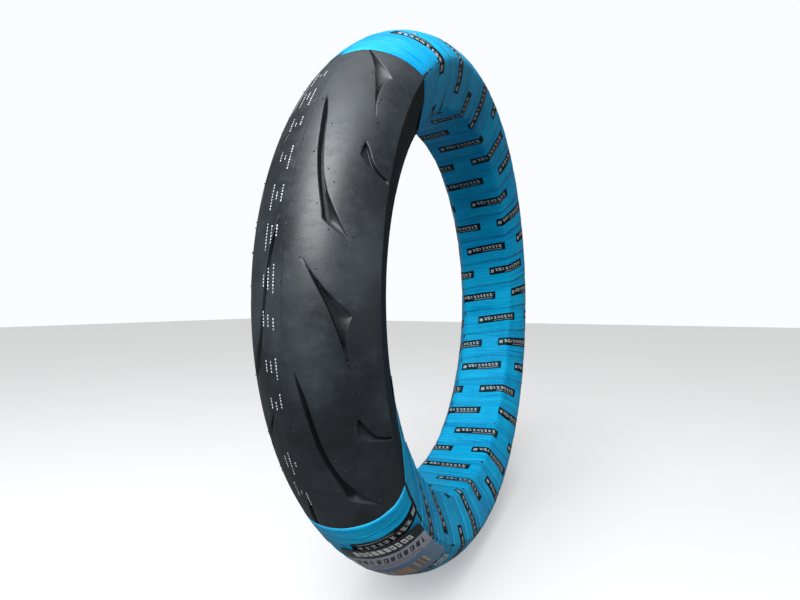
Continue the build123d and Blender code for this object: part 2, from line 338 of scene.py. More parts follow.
class Graph:
    """The node tree of one material."""

    def __init__(self, name: str) -> None:
        """Starts a material with one Principled shader."""
        self.material = bpy.data.materials.new(name)
        self.material.use_nodes = True
        self.tree = self.material.node_tree
        self.tree.nodes.clear()
        self.shader = self.node("ShaderNodeBsdfPrincipled", {}, {})
        self.node("ShaderNodeOutputMaterial", {}, {"Surface": self.shader.outputs[0]})

    def node(self, kind: str, settings: dict, values: dict) -> bpy.types.Node:
        """Adds a node.

        Args:
            kind: The node's type.
            settings: Its properties, which are set first.
            values: Numbers, colours, sockets or signals for its inputs, by name or number.

        Returns:
            The new node.
        """
        node = self.tree.nodes.new(kind)
        for key, value in settings.items():
            setattr(node, key, value)
        for key, value in values.items():
            self.feed(node.inputs[key], value)
        return node

    def feed(self, socket: Socket, value: object) -> None:
        """Links or sets one input."""
        if isinstance(value, Signal):
            value = value.socket
        if isinstance(value, Socket):
            self.tree.links.new(value, socket)
        else:
            socket.default_value = value

    def math(self, operation: str, *values: Signal | float) -> Signal:
        """Adds one Math node."""
        node = self.node("ShaderNodeMath", {"operation": operation}, dict(enumerate(values)))
        return Signal(self, node.outputs[0])

    def object_place(self) -> Socket:
        """The place on the piece, in metres."""
        return self.node("ShaderNodeTexCoord", {}, {}).outputs["Object"]

    def surface_place(self) -> Socket:
        """The piece's own UV map."""
        return self.node("ShaderNodeUVMap", {"uv_map": "surface"}, {}).outputs[0]

    def parts(self, vector: Socket) -> tuple[Signal, Signal, Signal]:
        """Splits a vector into its three numbers."""
        node = self.node("ShaderNodeSeparateXYZ", {}, {0: vector})
        return tuple(Signal(self, out) for out in node.outputs)

    def vector(self, x: Signal | float, y: Signal | float, z: Signal | float) -> Socket:
        """Joins three numbers into a vector."""
        return self.node("ShaderNodeCombineXYZ", {}, {0: x, 1: y, 2: z}).outputs[0]

    def noise(
        self, vector: Socket, scale: float, detail: float = 3.0, rough: float = 0.5
    ) -> Signal:
        """Cloudy noise from 0 to 1."""
        values = {"Vector": vector, "Scale": scale, "Detail": detail, "Roughness": rough}
        return Signal(self, self.node("ShaderNodeTexNoise", {}, values).outputs[0])

    def chance(self, value: Signal) -> Signal:
        """A random number for each whole number."""
        node = self.node("ShaderNodeTexWhiteNoise", {"noise_dimensions": "1D"}, {"W": value})
        return Signal(self, node.outputs[0])

    def mix(self, share: Signal | float, first: object, second: object) -> Socket:
        """Mixes two colours."""
        first = (*first, 1.0) if isinstance(first, tuple) else first
        second = (*second, 1.0) if isinstance(second, tuple) else second
        settings = {"data_type": "RGBA", "clamp_factor": True}
        return self.node("ShaderNodeMix", settings, {0: share, 6: first, 7: second}).outputs[2]

    def bump(self, height: Signal, depth: float, strength: float = 1.0) -> None:
        """Raises the surface by a height from 0 to 1 times a depth."""
        values = {"Height": height, "Distance": depth, "Strength": strength}
        node = self.node("ShaderNodeBump", {}, values)
        self.feed(self.shader.inputs["Normal"], node.outputs[0])

    def set(self, **values: object) -> None:
        """Sets or links inputs of the shader, with underscores for the spaces in their names."""
        for name, value in values.items():
            value = (*value, 1.0) if isinstance(value, tuple) and len(value) == 3 else value
            self.feed(self.shader.inputs[name.replace("_", " ")], value)


def dress(piece: Object, material: Material) -> None:
    """Puts one material on a piece."""
    piece.data.materials.clear()
    piece.data.materials.append(material)
    for slot in piece.material_slots:
        slot.material = material


# Finishes


@dataclass(frozen=True)
class RubberFinish:
    """Moulded rubber: cloudy bloom, fine grain and, where asked, raised moulding rings and, on a
    tread, painted shade in the grooves.
    """

    name: str
    dark: Colour
    pale: Colour
    roughness: Place = (0.36, 0.52)
    specular: float = 0.5
    grain: float = 900.0
    ring_pitch: float = 0.0
    tread: TyreForm | None = None

    def material(self) -> Material:
        """Builds the material.

        Returns:
            A satin rubber that reads Object coordinates.
        """
        graph = Graph(self.name)
        place = graph.object_place()
        x, y, z = graph.parts(place)
        bloom = graph.noise(place, 16.0, 6.0, 0.62).step(0.36, 0.68)
        rub = graph.noise(graph.vector(x * 2.0, y, z * 2.0), 60.0, 5.0, 0.7).step(0.45, 0.75)
        colour = graph.mix(bloom * 0.7 + rub * 0.2, self.dark, self.pale)
        height = graph.noise(place, self.grain, 3.0) * 0.35 + graph.noise(place, 140.0, 4.0) * 0.65
        if self.ring_pitch:
            reach = (x * x + z * z).power(0.5)
            height = height * 0.5 + (reach * (math.tau / self.ring_pitch)).sine().step(0.1, 0.9)
        low, high = self.roughness
        roughness = rub * (high - low) + bloom * 0.08 + low
        if self.tread:
            broken = graph.noise(place, 240.0, 2.0).step(0.38, 0.52)
            line = (y.size() < 0.00022) * broken
            colour = graph.mix(line, colour, (0.003, 0.003, 0.004))
            height = height - line * 2.0
            # Painted shade: the colour darkens to near black with depth below the tread's arc, so
            # the grooves read as shaded; they are also rougher.
            out = (x * x + z * z).power(0.5) - self.tread.hub_radius
            groove = (self.tread.crown_radius - (out * out + y * y).power(0.5)).step(0.001, 0.0045)
            colour = graph.mix(groove * 0.9, colour, (0.002, 0.002, 0.003))
            roughness = roughness + groove * 0.25
        graph.set(Base_Color=colour, Roughness=roughness)
        graph.set(Specular_IOR_Level=self.specular)
        graph.bump(height, 0.00012, 0.8)
        return graph.material


@dataclass(frozen=True)
class CordFinish:
    """Rubberised cord fabric, with threads laid at an angle."""

    name: str
    rubber: Colour
    thread: Colour
    lean: float
    pitch: float = 0.0011

    def material(self) -> Material:
        """Builds the material, whose threads cross the section at a lean."""
        graph = Graph(self.name)
        place = graph.object_place()
        x, y, z = graph.parts(place)
        turn = z.math("ARCTAN2", x)
        wave = ((turn * 0.26 + y * self.lean) * (math.tau / self.pitch)).sine().step(-0.6, 0.9)
        colour = graph.mix(wave, self.rubber, self.thread)
        graph.set(Base_Color=colour, Roughness=graph.noise(place, 300.0) * 0.2 + 0.6)
        graph.bump(wave, 0.0001)
        return graph.material


@dataclass(frozen=True)
class WireFinish:
    """Bronze coated steel wire."""

    name: str = "bronzed_wire"
    tone: Colour = (0.5, 0.33, 0.18)

    def material(self) -> Material:
        """Builds the material."""
        graph = Graph(self.name)
        place = graph.object_place()
        tarnish = graph.noise(place, 90.0, 4.0).step(0.35, 0.7)
        colour = graph.mix(tarnish, self.tone, (0.28, 0.2, 0.13))
        graph.set(Base_Color=colour, Roughness=tarnish * 0.25 + 0.22, Metallic=1.0)
        graph.bump(graph.noise(place, 1500.0), 0.00004)
        return graph.material


@dataclass(frozen=True)
class FilmFinish:
    """Blue stretch film with rows of dark printed marks. U runs along the strip and V across it."""

    name: str = "stretch_film"
    half_width: float = 0.0396
    mark_pitch: float = 0.0893
    mark_start: float = 0.02
    mark_length: float = 0.063
    mark_height: float = 0.0145
    mark_row: float = -0.0125
    block_pitch: float = 0.0054

    def printed(self, graph: Graph, u: Signal, v: Signal) -> tuple[Signal, Signal]:
        """Draws the marks: a dark bar with slanted blocks and a row of small blocks under them.

        Args:
            graph: The material's graph.
            u: Metres along the strip.
            v: Metres across the strip.

        Returns:
            Where the dark bar is, and where its pale blocks are.
        """
        along = ((u - self.mark_start) / self.mark_pitch).fraction() * self.mark_pitch
        across = v - self.mark_row
        bar = along.within(0.0, self.mark_length) * (across.size() < self.mark_height / 2)
        slant = along + across * 0.35
        number = (slant / self.block_pitch).floor()
        share = (slant / self.block_pitch).fraction()
        raised = (across - 0.0012).size()
        width = graph.chance(number) * 0.35 + 0.45
        tall = graph.chance(number + 40.0) * 0.0012 + 0.0018
        blocks = along.within(0.009, self.mark_length - 0.004) * (share < width) * (raised < tall)
        notch = (slant / (self.block_pitch / 2)).fraction() > 0.35
        blocks = blocks * notch.or_more(raised > 0.0011)
        badge = along.within(0.0025, 0.0075) * (across.size() < 0.0028)
        small = along.within(0.026, self.mark_length - 0.005) * ((across + 0.0042).size() < 0.0007)
        small = small * ((slant / 0.0017).fraction() < 0.6)
        pale = blocks.or_more(badge).or_more(small)
        return bar, pale * bar

    def material(self) -> Material:
        """Builds the material.

        Returns:
            A glossy blue film, creased along its stretch, with painted highlights along its sharp
            creases and lower edge and painted shade in streaks along it.
        """
        graph = Graph(self.name)
        u, v, _ = graph.parts(graph.surface_place())
        place = graph.object_place()
        creases = graph.noise(graph.vector(u * 9.0, v * 150.0, 0.0), 1.0, 4.0, 0.6)
        fine = graph.noise(graph.vector(u * 30.0, v * 520.0, 3.0), 1.0, 3.0, 0.6)
        folds = graph.noise(graph.vector(u * 26.0 + v * 34.0, v * 60.0, 7.0), 1.0, 2.0, 0.5)
        sharp = (1.0 - (creases - 0.5).size() * 9.0).or_more(0.0)
        cloud = graph.noise(place, 14.0, 4.0, 0.6).step(0.32, 0.7)
        blue = graph.mix(cloud, (0.0, 0.34, 0.68), (0.0, 0.47, 0.82))
        # Painted highlight: the film is lighter and brighter blue along its sharp crease lines.
        blue = graph.mix(sharp * 0.45, blue, (0.02, 0.56, 0.95))
        # Painted shade: narrow dark streaks run along the strip where its folds fall in shade.
        shade_streak = graph.noise(graph.vector(u * 5.0, v * 95.0, 5.0), 1.0, 5.0, 0.65)
        blue = graph.mix(shade_streak.step(0.54, 0.74) * 0.75, blue, (0.0, 0.13, 0.42))
        doubled = (v / self.half_width).step(-0.1, -0.2)
        blue = graph.mix(0.22 - doubled * 0.22, blue, (0.0, 0.14, 0.4))
        # Painted highlight: a thin lighter line along the strip's lower edge.
        hem_highlight = v < 0.0009 - self.half_width
        blue = graph.mix(hem_highlight * 0.6, blue, (0.1, 0.6, 0.9))
        bar, pale = self.printed(graph, u, v + (creases - 0.5) * 0.0006)
        wear = graph.noise(place, 700.0, 3.0, 0.6).step(0.35, 0.6)
        ink = graph.mix(pale * (wear * 0.35 + 0.4), (0.003, 0.004, 0.006), (0.75, 0.78, 0.8))
        colour = graph.mix(bar, blue, ink)
        graph.set(Base_Color=colour, Roughness=cloud * 0.14 + bar * 0.1 + 0.24)
        graph.set(Specular_IOR_Level=0.3, Specular_Tint=(0.12, 0.75, 1.0))
        graph.bump(creases * 0.55 + fine * 0.12 + folds * 0.5 + sharp * 0.12, 0.0017, 0.85)
        return graph.material


@dataclass(frozen=True)
class SizeLabelFinish:
    """The paper label: a dark header, a pale band of blocks, and a blue foot with three codes."""

    name: str = "printed_label"
    codes: tuple = (
        (0.12, 0.34, 0.68, 0.9, (0.8, 0.8, 0.8), (0.1, 0.12, 0.2)),
        (0.36, 0.6, 0.64, 0.9, (0.8, 0.36, 0.08), (0.2, 0.12, 0.06)),
        (0.62, 0.8, 0.6, 0.84, (0.75, 0.6, 0.4), (0.2, 0.15, 0.12)),
    )

    def material(self) -> Material:
        """Builds the material. From 0 to 1, U runs across the tyre and V along the label."""
        graph = Graph(self.name)
        u, v, _ = graph.parts(graph.surface_place())
        place = graph.object_place()
        cloud = graph.noise(place, 60.0, 3.0)
        tint = u.colours(
            (0.0, (0.01, 0.14, 0.42)), (0.55, (0.06, 0.24, 0.5)), (1.0, (0.25, 0.4, 0.58))
        )
        band = (v > 0.2) * (v < 0.56 - u * 0.1)
        colour = graph.mix(band, tint, (0.5, 0.52, 0.62))
        leaning = (u + v * 0.25) / 0.082
        block, share = leaning.floor(), leaning.fraction()
        glyph = (share < graph.chance(block) * 0.25 + 0.5) * v.within(0.25, 0.355)
        hollow = share.within(0.16, 0.36) * v.within(0.278, 0.328)
        hollow = hollow * (graph.chance(block + 9.0) > 0.5)
        glyph = glyph * (1.0 - hollow) * u.within(0.1, 0.93)
        colour = graph.mix(glyph, colour, (0.012, 0.014, 0.022))
        small = ((u + v * 0.2) / 0.03).fraction() < 0.62
        small = small * (v.within(0.39, 0.42) + v.within(0.45, 0.475)) * u.within(0.2, 0.86)
        colour = graph.mix(small, colour, (0.03, 0.1, 0.2))
        heading = (u - v * 0.3) / 0.07
        sign, part = heading.floor(), heading.fraction()
        mark = (part < graph.chance(sign + 3.0) * 0.2 + 0.62) * v.within(0.05, 0.14)
        gap = part.within(0.2, 0.42) * v.within(0.075, 0.115)
        gap = gap * (graph.chance(sign + 21.0) > 0.35)
        mark = mark * u.within(0.16, 0.86) * (1.0 - gap)
        header = graph.mix(mark, (0.004, 0.004, 0.006), (0.85, 0.86, 0.88))
        colour = graph.mix(v < 0.19, colour, header)
        bars = graph.chance((u / 0.008).floor()) > 0.5
        for left, right, low, high, paper, ink in self.codes:
            code = u.within(left, right) * v.within(low, high)
            colour = graph.mix(code, colour, graph.mix(bars, paper, ink))
        graph.set(Base_Color=colour, Roughness=cloud * 0.15 + 0.2)
        graph.set(Coat_Weight=0.3, Coat_Roughness=0.15)
        graph.bump(graph.noise(place, 120.0, 3.0) * 0.7 + cloud, 0.0004, 0.5)
        return graph.material


@dataclass(frozen=True)
class CodeStickerFinish:
    """A small pale sticker with dark bars."""

    name: str = "code_sticker"

    def material(self) -> Material:
        """Builds the material. U runs across the tyre from 0 to 1, and V along the sticker."""
        graph = Graph(self.name)
        u, v, _ = graph.parts(graph.surface_place())
        bars = graph.chance((u / 0.022).floor()) > 0.5
        bars = bars * u.within(0.08, 0.92) * v.within(0.2, 0.78)
        colour = graph.mix(bars, (0.78, 0.76, 0.74), (0.1, 0.06, 0.06))
        place = graph.object_place()
        graph.set(Base_Color=colour, Roughness=graph.noise(place, 200.0) * 0.2 + 0.35)
        graph.bump(graph.noise(place, 300.0), 0.0001)
        return graph.material


@dataclass(frozen=True)
class InkFinish:
    """White marking ink that is worn thin."""

    name: str = "marking_ink"

    def material(self) -> Material:
        """Builds the material."""
        graph = Graph(self.name)
        place = graph.object_place()
        wear = graph.noise(place, 420.0, 4.0, 0.7).step(0.42, 0.62)
        colour = graph.mix(wear, (0.72, 0.75, 0.78), (0.2, 0.21, 0.23))
        graph.set(Base_Color=colour, Roughness=wear * 0.2 + 0.5)
        graph.bump(wear, 0.00003)
        return graph.material


# The tyre's form


@dataclass(frozen=True)
class TyreForm:
    """The tyre's section, as the frame has it."""

    radius: float
    half_width: float
    shoulder_drop: float = 0.0346
    cap_gauge: float = 0.0068
    bore_radius: float = 0.2159
    heel_radius: float = 0.003
    bead_half_width: float = 0.038
    wall_centre: Place = (0.02962, 0.2498)
    wall_radius: float = 0.022
    wall_facing: Place = (106.19, 117.42)

    @classmethod
    def from_frame(cls) -> TyreForm:
        """Reads the tread's radius and width from the frame."""
        _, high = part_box("tread_cap")
        return cls(radius=float(high[2]), half_width=float(high[1]))

    @property
    def crown_radius(self) -> float:
        """Radius of the tread's arc across the tyre."""
        return (self.half_width**2 + self.shoulder_drop**2) / (2 * self.shoulder_drop)

    @property
    def hub_radius(self) -> float:
        """Distance of that arc's centre from the axle."""
        return self.radius - self.crown_radius

    @property
    def edge_angle(self) -> float:
        """Angle of the tread's edge on that arc, in radians."""
        return 2 * math.atan2(self.shoulder_drop, self.half_width)

    @property
    def tread_reach(self) -> float:
        """Length of the arc from the crown to the tread's edge."""
        return self.edge_angle * self.crown_radius

    def point(self, turn: float, across: float, depth: float = 0.0) -> Vector:
        """A point of the tread.

        Args:
            turn: Degrees round the wheel.
            across: Length along the arc from the crown line, positive towards +Y.
            depth: Distance below the tread's surface.

        Returns:
            The point in metres.
        """
        return Vector(self.points(*(np.array([value]) for value in (turn, across, depth)))[0])

    def points(self, turn: Array, across: Array, depth: Array) -> Array:
        """Many points of the tread at once, as rows of x, y and z."""
        lean = across / self.crown_radius
        reach = self.crown_radius - depth
        out = self.hub_radius + reach * np.cos(lean)
        angle = np.radians(turn)
        return np.stack([out * np.cos(angle), reach * np.sin(lean), out * np.sin(angle)], axis=1)

    def wrap_outline(self) -> Array:
        """The closed outline that stretched film takes round the section.

        Returns:
            Rows of y, radius, and the outward direction's y and radius. They start at the -Y
            bead, climb that side, pass over the crown to the +Y bead, and cross the bore back.
        """
        heel = (self.bead_half_width - self.heel_radius, self.bore_radius + self.heel_radius)
        start, end = self.wall_facing
        rows: list[tuple[float, float, float, float]] = []

        def turn_round(centre: Place, reach: float, first: float, last: float, count: int) -> None:
            """Adds an arc round a centre, between two facing directions in degrees."""
            for k in range(count + 1):
                facing = math.radians(first + (last - first) * k / count)
                way = (math.sin(facing), math.cos(facing))
                rows.append((centre[0] + reach * way[0], centre[1] + reach * way[1], *way))

        turn_round((-heel[0], heel[1]), self.heel_radius, -180.0, -end, 6)
        turn_round((-self.wall_centre[0], self.wall_centre[1]), self.wall_radius, -end, -start, 3)
        edge = math.degrees(self.edge_angle)
        turn_round((0.0, self.hub_radius), self.crown_radius, -edge, edge, 60)
        turn_round(self.wall_centre, self.wall_radius, start, end, 3)
        turn_round(heel, self.heel_radius, end, 180.0, 6)
        rows.append((-heel[0], heel[1] - self.heel_radius, 0.0, -1.0))
        return np.array(rows)


# Tread


@dataclass(frozen=True)
class Groove:
    """One groove of a pitch, by places of degrees and millimetres along the arc from the crown.

    The channel is deepest along the deep edge. From there the floor rises to the far edge.
    """

    name: str
    deep_edge: tuple[Place, ...]
    far_edges: tuple[tuple[Place, ...], ...]
    deep: float = 5.2
    shallow: float = 1.1
    channel: float = 2.6
    open_end: bool = False


SICKLE = Groove(
    "sickle",
    deep_edge=(
        (148.9, 6.0), (152.0, 8.2), (156.0, 11.5), (160.0, 14.5),
        (164.0, 19.0), (168.0, 24.3), (169.6, 25.8),
    ),
    far_edges=(
        ((169.6, 25.8), (170.5, 31.0), (171.4, 38.0), (172.2, 43.0), (172.8, 45.5)),
        ((172.8, 45.5), (171.2, 41.5), (170.0, 37.8), (168.0, 32.2), (166.0, 27.0), (164.0, 23.2)),
        ((164.0, 23.2), (162.0, 20.6), (158.0, 17.0), (154.0, 14.0), (151.0, 10.0), (148.9, 6.0)),
    ),
    channel=3.6,
)
SWALLOW = Groove(
    "swallow",
    deep_edge=(
        (174.9, 14.5), (177.0, 20.5), (179.0, 26.0), (181.0, 31.0),
        (183.0, 34.8), (186.0, 39.6), (192.0, 47.2),
    ),
    far_edges=(
        ((192.0, 47.2), (189.0, 44.4), (186.0, 43.4), (184.0, 44.0), (182.4, 47.5)),
        ((182.4, 47.5), (181.0, 41.0), (180.0, 36.0), (179.0, 31.0), (177.0, 22.5), (174.9, 14.5)),
    ),
    shallow=0.7,
    channel=2.1,
)
HOOK = Groove(
    "hook",
    deep_edge=((156.9, 45.5), (158.0, 49.2), (160.0, 54.3), (161.2, 61.0), (161.8, 68.0)),
    far_edges=(
        ((162.4, 68.0), (162.0, 64.0), (161.0, 54.0), (160.4, 49.0), (159.4, 44.0)),
        ((159.4, 44.0), (158.2, 44.2), (156.9, 45.5)),
    ),
    deep=3.4,
    shallow=1.4,
    channel=1.2,
    open_end=True,
)


@dataclass
class Tread:
    """The tread rubber: one pitch of grooves on each side, repeated round the wheel."""

    form: TyreForm
    grooves: tuple[Groove, ...] = (SICKLE, SWALLOW, HOOK)
    pitches: int = 9
    lip: float = 0.28
    stretch: float = 5.0
    inner_rows: int = 7
    seam: tuple[Place, ...] = (
        (154.0, -68.4), (153.8, -46.0), (147.5, -2.0), (153.5, 12.0), (154.2, 48.0), (154.0, 68.4),
    )
    nibs: tuple[Place, ...] = (
        (150.3, -5.0), (155.2, -19.0), (157.8, -0.6), (160.0, -12.0), (162.5, -24.6),
        (167.6, -21.0), (171.0, -30.4), (171.6, -46.5), (174.7, -12.9), (176.2, -24.0),
        (181.5, -48.0), (182.9, -32.3), (188.2, -46.6), (192.8, -49.5), (158.1, -42.4),
        (153.0, -49.0), (149.2, -46.0), (164.4, -30.0),
    )

    @property
    def pitch(self) -> float:
        """Degrees from one pitch to the next."""
        return 360.0 / self.pitches

    def outlines(self) -> list[tuple[Groove, list[Array]]]:
        """The grooves of one pitch on the flat, with the edges of each.

        Returns:
            Each groove with its edges, the deep edge first, in millimetres on the flat.
        """
        placed = []
        for groove in self.grooves:
            for side in Side:
                shift = self.pitch / 2 if side is Side.LEFT else 0.0
                if side is Side.LEFT and groove is SWALLOW:
                    shift -= self.pitch
                edges = []
                for line in (groove.deep_edge, *groove.far_edges):
                    flat = [
                        ((turn + shift) * self.stretch, side.value * across)
                        for turn, across in line
                    ]
                    edges.append(curve_through(flat, 1.1))
                placed.append((groove, edges))
        return placed

    def depth_at(self, flat: Array, placed: list) -> Array:
        """Depth of the grooves under flat points, in millimetres."""
        depth = np.zeros(len(flat))
        for groove, edges in placed:
            loop = np.concatenate(edges)
            low, high = loop.min(axis=0) - 2.0, loop.max(axis=0) + 2.0
            near = np.all((flat > low) & (flat < high), axis=1)
            if not near.any():
                continue
            spots = flat[near]
            to_deep = distance_to(spots, edges[0])
            to_far = np.min([distance_to(spots, edge) for edge in edges[1:]], axis=0)
            wall = np.minimum(to_deep, to_far)
            held = inside(spots, loop) & (wall > 1e-6)
            rise = np.maximum(0.0, to_deep - groove.channel)
            share = to_far / (to_far + rise + TINY)
            floor = groove.shallow + (groove.deep - groove.shallow) * share
            floor = np.minimum(floor, 1.5 * (to_deep + to_far) + 0.5)
            cut = self.lip + (floor - self.lip) * smooth_step(wall / 0.75)
            edge = self.lip * np.clip(1.0 - wall / 0.6, 0.0, 1.0) ** 2
            depth[near] = np.maximum(depth[near], np.where(held, cut, edge))
        return depth

    def cell(self) -> tuple[Array, list[tuple[int, ...]]]:
        """Meshes one pitch on the flat.

        Returns:
            Flat points in millimetres, and the triangles between them.
        """
        placed = self.outlines()
        reach = self.form.tread_reach / MM
        stops = [(turn * self.stretch, across) for turn, across in self.seam]
        runs = [curve_through(pair, 2.4)[:-1] for pair in zip(stops, stops[1:])]
        left_seam = np.concatenate([*runs, [stops[-1]]])
        left_seam[0, 1], left_seam[-1, 1] = -reach, reach
        width = self.pitch * self.stretch
        edge = np.linspace(0.0, width, 135)[1:-1] + left_seam[0, 0]
        top = np.stack([edge, np.full(len(edge), reach)], axis=1)
        bottom = np.stack([edge, np.full(len(edge), -reach)], axis=1)
        right_seam = left_seam + (width, 0.0)
        border = np.concatenate([left_seam, top, right_seam[::-1], bottom[::-1]])

        points = [border]
        edges = [(k, (k + 1) % len(border)) for k in range(len(border))]
        count = len(border)
        loops, extra = [], []
        for _, lines in placed:
            loop = np.concatenate([line[:-1] for line in lines])
            if np.linalg.norm(lines[-1][-1] - lines[0][0]) > 0.01:
                loop = np.concatenate([loop, lines[-1][-1:]])
            loops.append(loop)
            points.append(loop)
            edges += [(count + k, count + (k + 1) % len(loop)) for k in range(len(loop))]
            count += len(loop)
        for loop in loops:
            ahead = np.roll(loop, -1, axis=0) - np.roll(loop, 1, axis=0)
            normal = np.stack([ahead[:, 1], -ahead[:, 0]], axis=1)
            normal /= np.maximum(np.linalg.norm(normal, axis=1), 1e-9)[:, None]
            for offset in (-0.95, -0.4, 0.3, 0.62, 1.05):
                for way in (1.0, -1.0):
                    extra.append((loop + normal * offset * way, abs(offset), offset > 0))
        walls = [np.concatenate([loop, loop[:1]]) for loop in loops]
        low, high = border.min(axis=0), border.max(axis=0)

        rim = np.concatenate([border, border[:1]])

        def kept(spots: Array, gap: float, in_groove: bool) -> Array:
            """Keeps the spots clear of walls and border, on the asked side of the walls."""
            spots = spots[inside(spots, border) & (distance_to(spots, rim) > 0.55)]
            clear = np.min([distance_to(spots, wall) for wall in walls], axis=0) > gap
            spots = spots[clear]
            held = np.any([inside(spots, loop) for loop in loops], axis=0)
            return spots[held == in_groove]

        for spots, offset, in_groove in extra:
            points.append(kept(spots, offset * 0.93, in_groove))
        for step, gap, in_groove in ((1.5, 1.5, True), (4.2, 2.4, False)):
            xs = np.arange(low[0], high[0], step)
            ys = np.arange(low[1], high[1], step * 0.87)
            grid = [(x + (row % 2) * step / 2, y) for row, y in enumerate(ys) for x in xs]
            points.append(kept(np.array(grid), gap, in_groove))
        flat = np.concatenate(points)
        verts, _, faces, *_ = delaunay_2d_cdt([Vector(p) for p in flat], edges, [], 1, 1e-4)
        return np.array([tuple(v) for v in verts]), [tuple(f) for f in faces]

    def build(self) -> Object:
        """Builds the tread as one closed piece.

        Returns:
            The tread, in place of its CAD node.
        """
        flat, faces = self.cell()
        depth = self.depth_at(flat, self.outlines())
        reach = self.form.tread_reach / MM
        on_edge = np.abs(flat[:, 1] - Side.RIGHT.value * reach) < 1e-3
        points, all_faces = [], []
        count = 0
        for number in range(self.pitches):
            turn = flat[:, 0] / self.stretch + number * self.pitch
            points.append(self.form.points(turn, flat[:, 1] * MM, depth * MM))
            all_faces += [tuple(i + count for i in face) for face in faces]
            count += len(flat)
        marks = np.unique(np.round(flat[on_edge, 0], 4))[:-1]
        turns = np.concatenate([marks / self.stretch + k * self.pitch for k in range(self.pitches)])
        rows = np.linspace(-self.form.tread_reach, self.form.tread_reach, self.inner_rows)
        for across in rows:
            gauge = np.full(len(turns), self.form.cap_gauge)
            points.append(self.form.points(turns, np.full(len(turns), across), gauge))
        lining = grid_faces(len(rows), len(turns), closed=True)
        all_faces += [tuple(i + count for i in face) for face in lining]
        piece = make_object("tread", np.concatenate(points), all_faces)
        self.close(piece)
        smooth(piece, 42.0)
        finish = RubberFinish(
            "tread_rubber", (0.012, 0.015, 0.018), (0.036, 0.046, 0.056), tread=self.form
        )
        dress(piece, finish.material())
        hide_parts("tread_cap")
        return piece

    def close(self, piece: Object) -> None:
        """Welds the pitches and joins the outer and inner faces along both edges."""
        mesh = bmesh.new()
        mesh.from_mesh(piece.data)
        bmesh.ops.remove_doubles(mesh, verts=mesh.verts, dist=2e-6)
        open_edges = [edge for edge in mesh.edges if edge.is_boundary]
        for side in Side:
            near = [e for e in open_edges if (e.verts[0].co.y + e.verts[1].co.y) * side.value > 0]
            bmesh.ops.bridge_loops(mesh, edges=near)
        bmesh.ops.recalc_face_normals(mesh, faces=mesh.faces)
        mesh.to_mesh(piece.data)
        mesh.free()

    def build_nibs(self, bare: Place) -> Object:
        """Builds the vent nibs of the bare part of the tread, modelled once and copied.

        Args:
            bare: The turns between which the tread is bare.

        Returns:
            All nibs as one piece.
        """
        bpy.ops.mesh.primitive_cone_add(vertices=8, radius1=0.00055, radius2=0.0004, depth=0.0016)
        piece = bpy.context.object
        piece.name = "vent_nibs"
        bpy.ops.object.mode_set(mode="EDIT")
        bpy.ops.mesh.select_all(action="SELECT")
        bpy.ops.mesh.bevel(offset=0.00012, segments=1)
        bpy.ops.object.mode_set(mode="OBJECT")
        pattern = bmesh.new()
        shape = piece.data.copy()
        for number in range(self.pitches):
            for side in Side:
                shift = number * self.pitch + (self.pitch / 2 if side is Side.LEFT else 0.0)
                for turn, across in self.nibs:
                    spot = (turn + shift) % 360.0
                    if not bare[0] < spot < bare[1]:
                        continue
                    across *= -side.value * MM
                    base = self.form.point(spot, across)
                    way = self.form.point(spot, across, -0.01) - base
                    turned = way.to_track_quat("Z", "Y").to_matrix().to_4x4()
                    seat = Matrix.Translation(base) @ turned
                    shape.transform(seat)
                    pattern.from_mesh(shape)
                    shape.transform(seat.inverted())
        pattern.to_mesh(piece.data)
        pattern.free()
        finish = RubberFinish("nib_rubber", (0.02, 0.022, 0.026), (0.07, 0.078, 0.088))
        dress(piece, finish.material())
        return piece


@dataclass
class InkMarks:
    """Rows of white ink dots beside the crown, in blocks that form no letters."""

    form: TyreForm
    first: float = 141.5
    last: float = 212.0
    pitch: float = 5.7
    seed: int = 7

    def build(self) -> Object:
        """Builds the dots as small flat lozenges on the tread."""
        draw = random.Random(self.seed)
        points, faces = [], []
        turn = self.first
        while turn < self.last:
            for column in range(3):
                first, last = draw.randint(0, 3), draw.randint(5, 9)
                for row in range(first, last):
                    self.dot(points, faces, turn + row * 0.44, (7.4 + column * 5.2) * MM)
            turn += self.pitch * (1.0 if draw.random() < 0.85 else 1.6)
        piece = make_object("ink_marks", points, faces)
        dress(piece, InkFinish().material())
        return piece

    def dot(self, points: list, faces: list, turn: float, across: float) -> None:
        """Adds one dot: a domed disk that is longer round the wheel than across it."""
        base = len(points)
        ring = 8
        for height, size in ((-0.0001, 1.0), (0.00004, 1.0), (0.00009, 0.6)):
            for k in range(ring):
                angle = math.tau * k / ring
                spot = turn + math.cos(angle) * size * 0.17
                aside = across + math.sin(angle) * size * 0.0006
                points.append(self.form.point(spot, aside, -height))
        for level in range(2):
            for k in range(ring):
                low, high = base + level * ring, base + (level + 1) * ring
                faces.append((low + k, low + (k + 1) % ring, high + (k + 1) % ring, high + k))
        faces.append(tuple(base + 2 * ring + k for k in range(ring)))
        faces.append(tuple(base + k for k in reversed(range(ring))))


# Film


